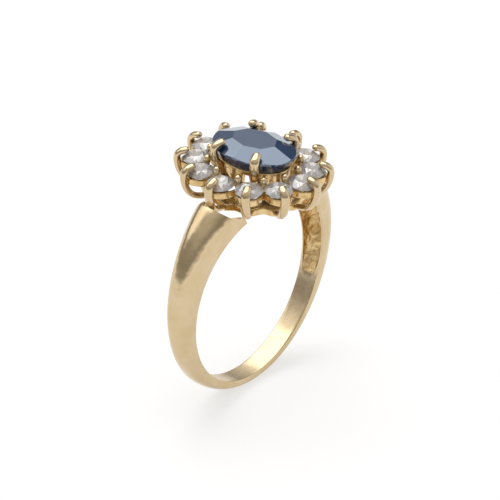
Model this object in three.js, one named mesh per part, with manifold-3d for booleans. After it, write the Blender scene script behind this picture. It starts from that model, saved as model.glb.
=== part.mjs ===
// Engagement ring: an oval blue stone in an open four-claw basket, inside an oval halo of twelve
// round white stones, on a tapered half-round band with hollowed shoulders.
// Millimetres. +Z is up through the head, +Y is the axis of the finger hole, +X runs from
// shoulder to shoulder, and the origin is the centre of the finger hole.

import * as THREE from 'three';
import Module from 'manifold-3d';
import { mergeVertices } from 'three/addons/utils/BufferGeometryUtils.js';
import { ConvexGeometry } from 'three/addons/geometries/ConvexGeometry.js';

// Air between two pieces that fit each other, which solder or burnishing fills.
const FIT = 0.03;

// Band.
const FINGER_RADIUS = 8.65;
const BAND_DEPTH = 1.9;
const CROWN_RISE = 1.1;
const BAND_WIDTH_BASE = 1.85;
const BAND_WIDTH_TOP = 5.95;
const BAND_FLARE = 3.45;
const BAND_EDGE = 0.45;
const BAND_DOME = 2.6;
const BAND_END = THREE.MathUtils.degToRad(156);
const HOLLOW_START = THREE.MathUtils.degToRad(70);
const HOLLOW_ROUND = THREE.MathUtils.degToRad(16);
const HOLLOW_RAMP = THREE.MathUtils.degToRad(26);
const HOLLOW_RIM = 0.18;
const HOLLOW_WALL = 0.8;
const BAND_STEPS = 52;
const DOME_STEPS = 10;

// Halo stones.
const HALO_COUNT = 12;
const HALO_END_GAP = 0.05;
const HALO_SIDE_GAP = 0.51;
const HALO_CLIMB = 2.42;
const HALO_TILT = THREE.MathUtils.degToRad(6);
const DIAMOND_RADIUS = 1.17;
const DIAMOND_TABLE = 0.56;
const DIAMOND_CROWN = 0.36;
const DIAMOND_PAVILION = 1.0;
const DIAMOND_GIRDLE = 0.05;

// Outer claws, which swell from the foot to the girdle and are flatter than they are wide.
const CLAW_RADIUS = 0.4;
const CLAW_FOOT_RADIUS = 0.33;
const CLAW_TIP_RADIUS = 0.37;
const CLAW_FLAT = 0.75;
const CLAW_STANDOFF = 0.12;
const CLAW_GRIP = 0.4;
const CLAW_FOOT_INSET = 0.3;
const CLAW_FOOT_LIFT = 0.33;

// Gallery rails. The lower one has a flat flange inside it.
const LOWER_RAIL_INSET = 0.73;
const LOWER_RAIL_LIFT = 0.07;
const LOWER_RAIL_WAVE = 0.14;
const LOWER_RAIL_HEIGHT = 0.7;
const LOWER_RAIL_WALL = 0.55;
const FLANGE_WIDTH = 1.4;
const FLANGE_THICKNESS = 0.36;
const UPPER_RAIL_CUSP_STANDOFF = 0.349;
const UPPER_RAIL_BITE = 0.12;
const UPPER_RAIL_DROP = 0.62;
const UPPER_RAIL_HEIGHT = 0.58;
const UPPER_RAIL_WALL = 0.5;

// Inner claws, each shared by two halo stones.
const BEAD_RADIUS = 0.33;
const STEM_RADIUS = 0.24;
const BEAD_LIFT = 0.45;

// Centre stone.
const SAPPHIRE_LENGTH = 7.66;
const SAPPHIRE_WIDTH = 5.64;
const SAPPHIRE_LIFT = 1.6;
const SAPPHIRE_CROWN = 0.72;
const SAPPHIRE_TABLE = 0.55;
const SAPPHIRE_GIRDLE = 0.1;
const SAPPHIRE_SHELF = 0.95;
const SAPPHIRE_SHELF_WIDTH = 0.87;
const SAPPHIRE_WAIST = 1.75;
const SAPPHIRE_WAIST_WIDTH = 0.58;
const SAPPHIRE_PAVILION = 2.5;

// Centre basket: a collar with two windows in each long side, a base rail, and four claws.
const CENTRE_CLAW_RADIUS = 0.42;
const CENTRE_CLAW_TIP_RADIUS = 0.4;
const CENTRE_CLAW_FLAT = 0.7;
const CENTRE_CLAW_STANDOFF = 0.1;
const CENTRE_CLAW_GRIP = 0.36;
const CENTRE_CLAW_ANGLE = THREE.MathUtils.degToRad(31);
const COLLAR_WALL = 0.5;
const COLLAR_LIP = 0.05;
const COLLAR_WINDOW_TOP = 0.45;
const WINDOW_FIRST = 8;
const WINDOW_LAST = 25;
const BASE_RAIL_RADIUS = 0.27;
const BASE_RAIL_DROP = 1.2;
const BASKET_TAPER = 0.25;

// Half lengths of the centre stone, which the basket and the halo follow.
const SAPPHIRE_Y = SAPPHIRE_LENGTH / 2;
const SAPPHIRE_X = SAPPHIRE_WIDTH / 2;

// The halo's half length, and how much shorter its half width is.
const HALO_REACH = SAPPHIRE_Y + HALO_END_GAP + DIAMOND_RADIUS;
const OVAL_DIFFERENCE = HALO_REACH - (SAPPHIRE_X + HALO_SIDE_GAP + DIAMOND_RADIUS);

// Heights and radii that follow from the sizes above.
const CROWN_RADIUS = FINGER_RADIUS + BAND_DEPTH;
const CLAW_FOOT_Z = FINGER_RADIUS + CLAW_FOOT_LIFT;
const HALO_Z = CLAW_FOOT_Z + HALO_CLIMB;
const LOWER_RAIL_REACH = HALO_REACH - LOWER_RAIL_INSET;
const LOWER_RAIL_Z = CLAW_FOOT_Z + LOWER_RAIL_LIFT;
const HALF_PITCH = (HALO_REACH - OVAL_DIFFERENCE / 2) * Math.sin(Math.PI / HALO_COUNT);
const BEAD_CLEAR = Math.max(DIAMOND_RADIUS + STEM_RADIUS + FIT, HALF_PITCH);
const BEAD_INSET = Math.sqrt(BEAD_CLEAR ** 2 - HALF_PITCH ** 2);
const UPPER_RAIL_CUSP = HALO_REACH - BEAD_INSET + UPPER_RAIL_CUSP_STANDOFF;
const UPPER_RAIL_Z = HALO_Z - UPPER_RAIL_DROP;
const CLAW_GIRDLE = DIAMOND_RADIUS + CLAW_RADIUS * CLAW_FLAT + CLAW_STANDOFF;
const CLAW_INSIDE = HALO_REACH + CLAW_GIRDLE * 0.955 - CLAW_RADIUS * CLAW_FLAT;
const UPPER_RAIL_LOBE = CLAW_INSIDE - UPPER_RAIL_WALL / 2 + UPPER_RAIL_BITE;
const SAPPHIRE_Z = HALO_Z + SAPPHIRE_LIFT;
const COLLAR_TOP_Z = SAPPHIRE_Z - SAPPHIRE_SHELF - COLLAR_LIP;
const BASE_RAIL_Z = HALO_Z - BASE_RAIL_DROP;

const GOLD = { color: 0xd8c08c, roughness: 0.18, metalness: 1 };
const BLUE = { color: 0x1f3356, roughness: 0.05, metalness: 0 };
const WHITE = { color: 0xe8ecef, roughness: 0.03, metalness: 0 };

const wasm = await Module();
wasm.setup();

const ring = new THREE.Group();
ring.name = 'engagement_ring';

// ---------------------------------------------------------------- solids

// Gives a geometry as bare positions and triangles with its vertices joined.
function bare(geometry) {
  const copy = geometry.clone();
  copy.deleteAttribute('normal');
  copy.deleteAttribute('uv');
  return mergeVertices(copy, 1e-4);
}

function toSolid(geometry) {
  const joined = bare(geometry);
  const vertProperties = new Float32Array(joined.attributes.position.array);
  const triVerts = new Uint32Array(joined.index.array);
  return new wasm.Manifold(new wasm.Mesh({ numProp: 3, vertProperties, triVerts }));
}

function toGeometry(solid) {
  const mesh = solid.getMesh();
  const geometry = new THREE.BufferGeometry();
  const positions = new THREE.BufferAttribute(new Float32Array(mesh.vertProperties), 3);
  geometry.setAttribute('position', positions);
  geometry.setIndex(new THREE.BufferAttribute(new Uint32Array(mesh.triVerts), 1));
  return geometry;
}

function cut(geometry, tools) {
  let solid = toSolid(geometry);
  for (const tool of tools) {
    solid = solid.subtract(toSolid(tool));
  }
  return toGeometry(solid);
}

// Volume with its sign, which is negative when the faces point inwards.
function signedVolume(positions, faces) {
  let volume = 0;
  for (let i = 0; i < faces.length; i += 3) {
    const [a, b, c] = [positions[faces[i]], positions[faces[i + 1]], positions[faces[i + 2]]];
    volume += a.dot(new THREE.Vector3().crossVectors(b, c)) / 6;
  }
  return volume;
}

// Skins a row of rings that all have the same number of points. A closed row joins its last ring
// to its first, and an open one gets a fan at each end.
function loft(rings, closed = false) {
  const count = rings[0].length;
  const positions = rings.flat();
  const faces = [];
  const last = closed ? rings.length : rings.length - 1;
  for (let i = 0; i < last; i++) {
    const row = i * count;
    const next = ((i + 1) % rings.length) * count;
    for (let j = 0; j < count; j++) {
      const k = (j + 1) % count;
      faces.push(row + j, row + k, next + k, row + j, next + k, next + j);
    }
  }
  if (!closed) {
    const first = rings[0];
    const final = rings[rings.length - 1];
    const start = positions.push(centroid(first)) - 1;
    const end = positions.push(centroid(final)) - 1;
    const row = (rings.length - 1) * count;
    for (let j = 0; j < count; j++) {
      const k = (j + 1) % count;
      faces.push(start, k, j, end, row + j, row + k);
    }
  }
  if (signedVolume(positions, faces) < 0) {
    faces.reverse();
  }
  const geometry = new THREE.BufferGeometry().setFromPoints(positions);
  geometry.setIndex(faces);
  return geometry;
}

function centroid(points) {
  const sum = new THREE.Vector3();
  points.forEach((point) => sum.add(point));
  return sum.divideScalar(points.length);
}

// Wire along a smooth curve that lies in one upright plane. radiusAt gives half its width for a
// share of the length, flat is how thick it is for its width, and both ends are domed.
function wire(points, across, radiusAt, steps = 12, extra = 0, flat = 1) {
  const sides = 8;
  const curve = new THREE.CatmullRomCurve3(points, false, 'centripetal');
  const rings = [];
  const addRing = (centre, along, radius) => {
    const up = new THREE.Vector3().crossVectors(across, along).normalize();
    const circle = [];
    for (let j = 0; j < sides; j++) {
      const turn = (j / sides) * Math.PI * 2;
      const point = centre.clone();
      point.addScaledVector(across, Math.cos(turn) * (radius + extra));
      point.addScaledVector(up, Math.sin(turn) * (radius * flat + extra));
      circle.push(point);
    }
    rings.push(circle);
  };
  const dome = (share, sign) => {
    const radius = radiusAt(share);
    const along = curve.getTangentAt(share);
    const centre = curve.getPointAt(share);
    const angles = sign < 0 ? [75, 45] : [45, 75];
    for (const degrees of angles) {
      const angle = THREE.MathUtils.degToRad(degrees);
      const reach = (radius * flat + extra) * Math.sin(angle);
      const away = centre.clone().addScaledVector(along, sign * reach);
      addRing(away, along, radius * Math.cos(angle));
    }
  };
  dome(0, -1);
  for (let i = 0; i <= steps; i++) {
    const share = i / steps;
    addRing(curve.getPointAt(share), curve.getTangentAt(share), radiusAt(share));
  }
  dome(1, 1);
  return loft(rings);
}

// Point at an angle on an oval whose half length along Y is reach. Along X it's less by the
// difference that makes the head oval.
function onOval(reach, angle, z) {
  return new THREE.Vector3((reach - OVAL_DIFFERENCE) * Math.cos(angle), reach * Math.sin(angle), z);
}

// Direction that points straight out from an oval with these half lengths.
function outward(halfX, halfY, angle) {
  return new THREE.Vector3(Math.cos(angle) / halfX, Math.sin(angle) / halfY, 0).normalize();
}

// Closed rail with a rectangular section and softened corners, centred on path(angle).
function rail(path, direction, wall, height, steps) {
  const corner = 0.3 * Math.min(wall, height);
  const a = wall / 2;
  const b = height / 2;
  const section = [
    [a, corner - b], [a, b - corner], [a - corner, b], [corner - a, b],
    [-a, b - corner], [-a, corner - b], [corner - a, -b], [a - corner, -b],
  ];
  const rings = [];
  for (let i = 0; i < steps; i++) {
    const angle = (i / steps) * Math.PI * 2;
    const centre = path(angle);
    const out = direction(angle);
    rings.push(section.map(([side, rise]) => {
      const point = centre.clone().addScaledVector(out, side);
      point.z += rise;
      return point;
    }));
  }
  return loft(rings, true);
}

function add(name, geometry, finish) {
  const mesh = new THREE.Mesh(geometry, new THREE.MeshStandardMaterial(finish));
  mesh.name = name;
  ring.add(mesh);
  return mesh;
}

// ---------------------------------------------------------------- band

// The ridge of the band follows a circle that sits higher than the finger hole, so the band is
// thin below and tall at the shoulders. Angles start at the bottom.
function crownRadius(angle) {
  const lift = -CROWN_RISE * Math.cos(angle);
  const side = CROWN_RISE * Math.sin(angle);
  return lift + Math.sqrt(CROWN_RADIUS ** 2 - side ** 2);
}

function bandWidth(angle) {
  const share = Math.abs(angle) / Math.PI;
  return BAND_WIDTH_BASE + (BAND_WIDTH_TOP - BAND_WIDTH_BASE) * share ** BAND_FLARE;
}

function bandPoint(angle, radius, y) {
  return new THREE.Vector3(radius * Math.sin(angle), y, -radius * Math.cos(angle));
}

// Half-round section: a flat inside, a short upright edge, and a dome over it.
function domedRing(angle, inner, edge, top, halfWidth) {
  const points = [bandPoint(angle, inner, -halfWidth)];
  for (let i = 0; i <= DOME_STEPS; i++) {
    const side = Math.sin((i / DOME_STEPS - 0.5) * Math.PI);
    const rise = Math.sqrt(Math.max(0, 1 - Math.abs(side) ** BAND_DOME));
    points.push(bandPoint(angle, edge + (top - edge) * rise, side * halfWidth));
  }
  points.push(bandPoint(angle, inner, halfWidth));
  return points;
}

function bandBlank() {
  const rings = [];
  for (let i = 0; i <= BAND_STEPS; i++) {
    const angle = (i / BAND_STEPS - 0.5) * 2 * BAND_END;
    const edge = FINGER_RADIUS + BAND_EDGE;
    rings.push(domedRing(angle, FINGER_RADIUS, edge, crownRadius(angle), bandWidth(angle) / 2));
  }
  return loft(rings);
}

// The hollow under one shoulder starts as a rounded end and runs up to the head.
function shoulderHollow(side) {
  const rings = [];
  const steps = 14;
  const first = HOLLOW_START;
  const last = BAND_END + 0.12;
  for (let i = 0; i <= steps; i++) {
    const share = (i / steps) ** 1.6;
    const angle = first + (last - first) * share;
    const run = Math.min(1, (angle - first) / HOLLOW_ROUND);
    const open = Math.sqrt(1 - (1 - Math.max(run, 0.02)) ** 2);
    const halfWidth = (bandWidth(angle) / 2 - HOLLOW_RIM) * open ** 0.5;
    const ramp = Math.sin(Math.min(1, (angle - first) / HOLLOW_RAMP + 0.01) * (Math.PI / 2));
    const depth = (crownRadius(angle) - HOLLOW_WALL - FINGER_RADIUS) * ramp;
    const top = FINGER_RADIUS + depth;
    rings.push(domedRing(side * angle, FINGER_RADIUS - 0.8, FINGER_RADIUS, top, halfWidth));
  }
  return loft(rings);
}

// ---------------------------------------------------------------- halo

function haloAngle(index) {
  return (index / HALO_COUNT) * Math.PI * 2;
}

function haloOut(angle) {
  return outward(HALO_REACH - OVAL_DIFFERENCE, HALO_REACH, angle);
}

// Where a halo stone sits: its centre, the way out along its tilted girdle, and its own up.
function haloSeat(angle) {
  const flat = haloOut(angle);
  const up = new THREE.Vector3(0, 0, 1);
  const out = flat.clone().multiplyScalar(Math.cos(HALO_TILT));
  out.addScaledVector(up, -Math.sin(HALO_TILT));
  const normal = up.clone().multiplyScalar(Math.cos(HALO_TILT));
  normal.addScaledVector(flat, Math.sin(HALO_TILT));
  return { centre: onOval(HALO_REACH, angle, HALO_Z), flat, out, normal };
}

function circlePoints(radius, z, count, start) {
  const points = [];
  for (let i = 0; i < count; i++) {
    const angle = start + (i / count) * Math.PI * 2;
    points.push(new THREE.Vector3(radius * Math.cos(angle), radius * Math.sin(angle), z));
  }
  return points;
}

// Round brilliant: table, star, kite and half facets above the girdle, mains and halves below.
function brilliant() {
  const eighth = Math.PI / 8;
  const table = DIAMOND_RADIUS * DIAMOND_TABLE;
  const starRadius = DIAMOND_RADIUS * 0.78;
  const starZ = DIAMOND_CROWN * 0.62;
  const halfRadius = DIAMOND_RADIUS * 0.3;
  const halfZ = -DIAMOND_GIRDLE - DIAMOND_PAVILION * 0.74;
  const points = [
    ...circlePoints(table, DIAMOND_CROWN, 8, eighth),
    ...circlePoints(starRadius, starZ, 8, 0),
    ...circlePoints(DIAMOND_RADIUS, 0, 16, 0),
    ...circlePoints(DIAMOND_RADIUS, -DIAMOND_GIRDLE, 16, 0),
    ...circlePoints(halfRadius, halfZ, 8, eighth),
    new THREE.Vector3(0, 0, -DIAMOND_GIRDLE - DIAMOND_PAVILION),
  ];
  return new ConvexGeometry(points);
}

// Cone that cuts a stone's seat out of the rail under it.
function seatCone() {
  const slope = DIAMOND_PAVILION / DIAMOND_RADIUS;
  const radius = DIAMOND_RADIUS + FIT * 2;
  const points = [
    ...circlePoints(radius, 0.5, 16, 0),
    ...circlePoints(radius, -DIAMOND_GIRDLE, 16, 0),
    new THREE.Vector3(0, 0, -DIAMOND_GIRDLE - radius * slope - FIT),
  ];
  return new ConvexGeometry(points);
}

// Turns something drawn at the origin into a halo stone's place.
function intoSeat(geometry, angle) {
  const { centre, normal, flat } = haloSeat(angle);
  const across = new THREE.Vector3().crossVectors(new THREE.Vector3(0, 0, 1), flat);
  const out = new THREE.Vector3().crossVectors(across, normal);
  const matrix = new THREE.Matrix4().makeBasis(out, across, normal).setPosition(centre);
  return geometry.clone().applyMatrix4(matrix);
}

// Height of the crown's slope above the girdle at a distance from a round stone's middle.
function diamondCrownAt(radius) {
  const table = DIAMOND_RADIUS * DIAMOND_TABLE;
  return DIAMOND_CROWN * Math.min(1, (DIAMOND_RADIUS - radius) / (DIAMOND_RADIUS - table));
}

// An outer claw starts beside the lower rail, bows out past the girdle and folds over the crown.
function outerClawPath(angle) {
  const { centre, flat, out, normal } = haloSeat(angle);
  const inSeat = (along, rise) => {
    return centre.clone().addScaledVector(out, along).addScaledVector(normal, rise);
  };
  const below = (along, z) => {
    const point = centre.clone().addScaledVector(flat, along);
    point.z = z;
    return point;
  };
  const girdle = CLAW_GIRDLE;
  const grip = DIAMOND_RADIUS - CLAW_GRIP;
  const tipRise = diamondCrownAt(grip) + CLAW_TIP_RADIUS * CLAW_FLAT + FIT * 2;
  const climb = HALO_Z - CLAW_FOOT_Z;
  return [
    below(-CLAW_FOOT_INSET, CLAW_FOOT_Z),
    below(girdle * 0.36, CLAW_FOOT_Z + climb * 0.1),
    below(girdle * 0.72, CLAW_FOOT_Z + climb * 0.32),
    below(girdle * 0.94, CLAW_FOOT_Z + climb * 0.66),
    inSeat(girdle, 0),
    inSeat(girdle - 0.1, tipRise * 0.54),
    inSeat((girdle + grip) / 2, tipRise * 0.93),
    inSeat(grip, tipRise + 0.03),
  ];
}

function outerClaw(angle, extra = 0) {
  const path = outerClawPath(angle);
  const across = new THREE.Vector3().crossVectors(new THREE.Vector3(0, 0, 1), haloOut(angle));
  const swell = CLAW_RADIUS - CLAW_FOOT_RADIUS;
  const slim = CLAW_TIP_RADIUS - CLAW_RADIUS;
  const radiusAt = (share) => {
    const swollen = CLAW_FOOT_RADIUS + swell * THREE.MathUtils.smoothstep(share, 0, 0.6);
    return swollen + slim * THREE.MathUtils.smoothstep(share, 0.7, 1);
  };
  return wire(path, across, radiusAt, 11, extra, CLAW_FLAT);
}

// The rim of the lower rail rises between the claws, while the flange inside it stays level.
function lowerRail() {
  const a = LOWER_RAIL_WALL / 2;
  const b = LOWER_RAIL_HEIGHT / 2;
  const t = FLANGE_THICKNESS / 2;
  const soft = 0.15;
  const rim = [[-a, b - soft], [soft - a, b], [a - soft, b], [a, b - soft], [a, soft - b],
    [a - soft, -b], [soft - a, -b], [-a, soft - b]];
  const flange = [[-a, -t], [-a - FLANGE_WIDTH, -t], [-a - FLANGE_WIDTH, t], [-a, t]];
  const rings = [];
  const steps = HALO_COUNT * 4;
  for (let i = 0; i < steps; i++) {
    const angle = (i / steps) * Math.PI * 2;
    const wave = -LOWER_RAIL_WAVE * Math.cos(angle * HALO_COUNT);
    const centre = onOval(LOWER_RAIL_REACH, angle, LOWER_RAIL_Z);
    const at = (side, rise) => {
      const point = centre.clone().addScaledVector(haloOut(angle), side);
      point.z += rise;
      return point;
    };
    const rimPoints = rim.map(([side, rise]) => at(side, rise + wave));
    rings.push([...rimPoints, ...flange.map(([side, rise]) => at(side, rise))]);
  }
  return loft(rings, true);
}

function upperRail() {
  const path = (angle) => {
    const lobe = Math.abs(Math.cos((angle * HALO_COUNT) / 2)) ** 0.75;
    const reach = UPPER_RAIL_CUSP + (UPPER_RAIL_LOBE - UPPER_RAIL_CUSP) * lobe;
    return onOval(reach, angle, UPPER_RAIL_Z);
  };
  const direction = (angle) => haloOut(angle);
  return rail(path, direction, UPPER_RAIL_WALL, UPPER_RAIL_HEIGHT, HALO_COUNT * 6);
}

// ---------------------------------------------------------------- inner claws

// A bead stands inside the gap between two halo stones, clear of both girdles. Where the gap is
// too wide for a stem to reach both stones, the stem is thicker.
function beadPlace(angle) {
  const half = Math.PI / HALO_COUNT;
  const before = onOval(HALO_REACH, angle - half, HALO_Z);
  const after = onOval(HALO_REACH, angle + half, HALO_Z);
  const middle = before.clone().add(after).divideScalar(2);
  const halfSpacing = before.distanceTo(after) / 2;
  const stem = Math.max(STEM_RADIUS, halfSpacing - DIAMOND_RADIUS - FIT);
  const clear = DIAMOND_RADIUS + stem + FIT;
  const inset = Math.sqrt(Math.max(0, clear ** 2 - halfSpacing ** 2));
  return { place: middle.addScaledVector(haloOut(angle), -inset), stem };
}

function innerClaw(angle, extra = 0) {
  const { place, stem } = beadPlace(angle);
  const half = basketHalf(BASE_RAIL_Z);
  const baseX = half.x + BASE_RAIL_RADIUS;
  const baseY = half.y + BASE_RAIL_RADIUS;
  const base = new THREE.Vector3(baseX * Math.cos(angle), baseY * Math.sin(angle), 0);
  const run = place.clone().setZ(0).distanceTo(base);
  const at = (along, z) => place.clone().lerp(base, along / run).setZ(z);
  const climb = HALO_Z - BASE_RAIL_Z;
  const path = [
    at(run - stem * 0.4, BASE_RAIL_Z + climb * 0.04),
    at(run * 0.55, BASE_RAIL_Z + climb * 0.17),
    at(run * 0.1, BASE_RAIL_Z + climb * 0.52),
    at(0, HALO_Z - climb * 0.21),
    at(0, HALO_Z + BEAD_LIFT),
  ];
  const flat = base.clone().sub(place.clone().setZ(0)).normalize();
  const across = new THREE.Vector3().crossVectors(new THREE.Vector3(0, 0, 1), flat);
  const swell = BEAD_RADIUS - STEM_RADIUS;
  const radiusAt = (share) => stem + swell * THREE.MathUtils.smoothstep(share, 0.8, 1);
  return wire(path, across, radiusAt, 9, extra);
}

// ---------------------------------------------------------------- centre stone and basket

function ovalPoints(halfX, halfY, z, count, start) {
  return circlePoints(1, z, count, start).map((point) => {
    return new THREE.Vector3(point.x * halfX, point.y * halfY, z);
  });
}

// Eight broad crown facets meet an oval wall, with two tiers of facets below it.
function sapphire(extra = 0) {
  const eighth = Math.PI / 4;
  const reach = 1 / Math.cos(eighth / 2);
  const x = SAPPHIRE_X + extra;
  const y = SAPPHIRE_Y + extra;
  const shelf = SAPPHIRE_SHELF_WIDTH * reach;
  const waist = SAPPHIRE_WAIST_WIDTH * reach;
  const facets = new ConvexGeometry([
    ...ovalPoints(x * SAPPHIRE_TABLE, y * SAPPHIRE_TABLE, SAPPHIRE_CROWN + extra, 8, 0),
    ...ovalPoints(x * reach, y * reach, extra, 8, 0),
    ...ovalPoints(x * reach, y * reach, -SAPPHIRE_GIRDLE, 8, 0),
    ...ovalPoints(x * shelf, y * shelf, -SAPPHIRE_SHELF, 8, 0),
    ...ovalPoints(x * waist, y * waist, -SAPPHIRE_WAIST, 8, 0),
    ...ovalPoints(x * 0.12, y * 0.2, -SAPPHIRE_PAVILION - extra, 8, 0),
  ]);
  const wall = new ConvexGeometry([
    ...ovalPoints(x, y, SAPPHIRE_CROWN * 2, 32, 0),
    ...ovalPoints(x, y, -SAPPHIRE_PAVILION * 2, 32, 0),
  ]);
  const solid = toSolid(facets).intersect(toSolid(wall));
  return toGeometry(solid).translate(0, 0, SAPPHIRE_Z);
}

// Half width and half length of the middle of the basket's wall, which tapers in to its base.
function basketHalf(z) {
  const share = (COLLAR_TOP_Z - z) / (COLLAR_TOP_Z - BASE_RAIL_Z);
  const inset = SAPPHIRE_X * (1 - SAPPHIRE_SHELF_WIDTH) + COLLAR_WALL / 2 - COLLAR_LIP;
  const step = inset + BASKET_TAPER * share;
  return { x: SAPPHIRE_X - step, y: SAPPHIRE_Y - step };
}

function basketPoint(angle, z, side) {
  const half = basketHalf(z);
  const point = new THREE.Vector3(half.x * Math.cos(angle), half.y * Math.sin(angle), z);
  return point.addScaledVector(outward(half.x, half.y, angle), side);
}

// Lower edge of the collar, which steps up over the four windows.
function collarFoot(angle) {
  const turn = Math.asin(Math.abs(Math.sin(angle)));
  const degrees = THREE.MathUtils.radToDeg(turn);
  const into = THREE.MathUtils.smoothstep(degrees, WINDOW_FIRST, WINDOW_FIRST + 4);
  const out = THREE.MathUtils.smoothstep(degrees, WINDOW_LAST - 4, WINDOW_LAST);
  const low = BASE_RAIL_Z + BASE_RAIL_RADIUS * 0.6;
  const high = COLLAR_TOP_Z - COLLAR_WINDOW_TOP;
  return low + (high - low) * into * (1 - out);
}

function collar() {
  const rings = [];
  const steps = 96;
  const a = COLLAR_WALL / 2;
  const soft = 0.1;
  for (let i = 0; i < steps; i++) {
    const angle = (i / steps) * Math.PI * 2;
    const foot = collarFoot(angle);
    rings.push([
      basketPoint(angle, foot, a),
      basketPoint(angle, COLLAR_TOP_Z - soft, a),
      basketPoint(angle, COLLAR_TOP_Z, a - soft),
      basketPoint(angle, COLLAR_TOP_Z, -a),
      basketPoint(angle, foot, -a),
    ]);
  }
  return loft(rings, true);
}

function baseRail(extra = 0) {
  const radius = BASE_RAIL_RADIUS + extra;
  const rings = [];
  const steps = 36;
  for (let i = 0; i < steps; i++) {
    const angle = (i / steps) * Math.PI * 2;
    const circle = [];
    for (let j = 0; j < 6; j++) {
      const turn = ((j + 0.5) / 6) * Math.PI * 2;
      const point = basketPoint(angle, BASE_RAIL_Z, Math.cos(turn) * radius);
      point.z += Math.sin(turn) * radius;
      circle.push(point);
    }
    rings.push(circle);
  }
  return loft(rings, true);
}

// A centre claw rises outside the basket, passes the girdle and folds over the crown.
function centreClaw(angle, extra = 0) {
  const out = outward(SAPPHIRE_X, SAPPHIRE_Y, angle);
  const edge = new THREE.Vector3(SAPPHIRE_X * Math.cos(angle), SAPPHIRE_Y * Math.sin(angle), 0);
  const at = (along, z) => edge.clone().addScaledVector(out, along).setZ(z);
  const thick = CENTRE_CLAW_RADIUS * CENTRE_CLAW_FLAT;
  const girdle = thick + CENTRE_CLAW_STANDOFF;
  const crownRun = SAPPHIRE_X * (1 - SAPPHIRE_TABLE);
  const lift = (CENTRE_CLAW_GRIP / crownRun) * SAPPHIRE_CROWN;
  const tipThick = CENTRE_CLAW_TIP_RADIUS * CENTRE_CLAW_FLAT;
  const tipZ = SAPPHIRE_Z + lift + tipThick * 1.15 + FIT;
  const seatZ = COLLAR_TOP_Z - 0.5;
  const seatOut = wallOffset(seatZ, angle, edge, out, COLLAR_WALL / 2);
  const baseOut = wallOffset(BASE_RAIL_Z, angle, edge, out, BASE_RAIL_RADIUS);
  const path = [
    at(baseOut, BASE_RAIL_Z - 0.05),
    at(baseOut, BASE_RAIL_Z + 0.25),
    at(seatOut, seatZ),
    at(girdle * 0.75, SAPPHIRE_Z - SAPPHIRE_SHELF * 0.6),
    at(girdle, SAPPHIRE_Z),
    at(girdle * 0.8, SAPPHIRE_Z + (tipZ - SAPPHIRE_Z) * 0.6),
    at((girdle - CENTRE_CLAW_GRIP) / 2, tipZ - 0.03),
    at(-CENTRE_CLAW_GRIP, tipZ + 0.06),
  ];
  const across = new THREE.Vector3().crossVectors(new THREE.Vector3(0, 0, 1), out);
  const slim = CENTRE_CLAW_TIP_RADIUS - CENTRE_CLAW_RADIUS;
  const radiusAt = (share) => CENTRE_CLAW_RADIUS + slim * share;
  return wire(path, across, radiusAt, 12, extra, CENTRE_CLAW_FLAT);
}

// How far out from the girdle a claw stands so that it bites a little into the basket's wall.
function wallOffset(z, angle, edge, out, halfWall) {
  const bite = 0.1;
  const middle = basketPoint(angle, z, 0).setZ(0);
  return middle.sub(edge).dot(out) + halfWall + CENTRE_CLAW_RADIUS * CENTRE_CLAW_FLAT - bite;
}

// ---------------------------------------------------------------- assembly

const clawAngles = [];
const beadAngles = [];
for (let i = 0; i < HALO_COUNT; i++) {
  clawAngles.push(haloAngle(i));
  beadAngles.push(haloAngle(i + 0.5));
}
const centreAngles = [
  CENTRE_CLAW_ANGLE,
  Math.PI - CENTRE_CLAW_ANGLE,
  Math.PI + CENTRE_CLAW_ANGLE,
  -CENTRE_CLAW_ANGLE,
];

// Everything that the head takes up, as one oval plug that follows the backs of the outer claws.
// The band is cut back to it.
function headPlug() {
  const backOf = (angle) => {
    const curve = new THREE.CatmullRomCurve3(outerClawPath(angle), false, 'centripetal');
    const flat = haloOut(angle);
    const start = onOval(HALO_REACH, angle, 0);
    const levels = [];
    for (let i = 0; i <= 12; i++) {
      const share = (i / 12) * 0.7;
      const point = curve.getPointAt(share);
      const along = curve.getTangentAt(share);
      const away = CLAW_RADIUS * CLAW_FLAT + FIT * 2;
      const rise = along.z;
      const run = along.dot(flat);
      const back = point.clone().addScaledVector(flat, rise * away).setZ(point.z - run * away);
      levels.push({ z: back.z, along: back.clone().setZ(0).sub(start).dot(flat) });
    }
    return levels;
  };
  const levels = backOf(0);
  const kept = [{ z: CLAW_FOOT_Z - CLAW_RADIUS - FIT * 2, along: -CLAW_FOOT_INSET - 0.1 }];
  for (const level of levels) {
    if (level.z > kept[kept.length - 1].z + 0.02) {
      kept.push({ z: level.z, along: level.along + FIT });
    }
  }
  kept.push({ z: kept[kept.length - 1].z + 3, along: kept[kept.length - 1].along });
  const rings = kept.map(({ z, along }) => {
    const circle = [];
    for (let j = 0; j < 48; j++) {
      const angle = (j / 48) * Math.PI * 2;
      circle.push(onOval(HALO_REACH, angle, z).addScaledVector(haloOut(angle), along));
    }
    return circle;
  });
  return loft(rings);
}

const number = (index) => String(index + 1).padStart(2, '0');
const clawTools = clawAngles.map((angle) => outerClaw(angle, FIT));
const beadTools = beadAngles.map((angle) => innerClaw(angle, FIT));
const centreTools = centreAngles.map((angle) => centreClaw(angle, FIT));
const seatTools = clawAngles.map((angle) => intoSeat(seatCone(), angle));

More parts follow.
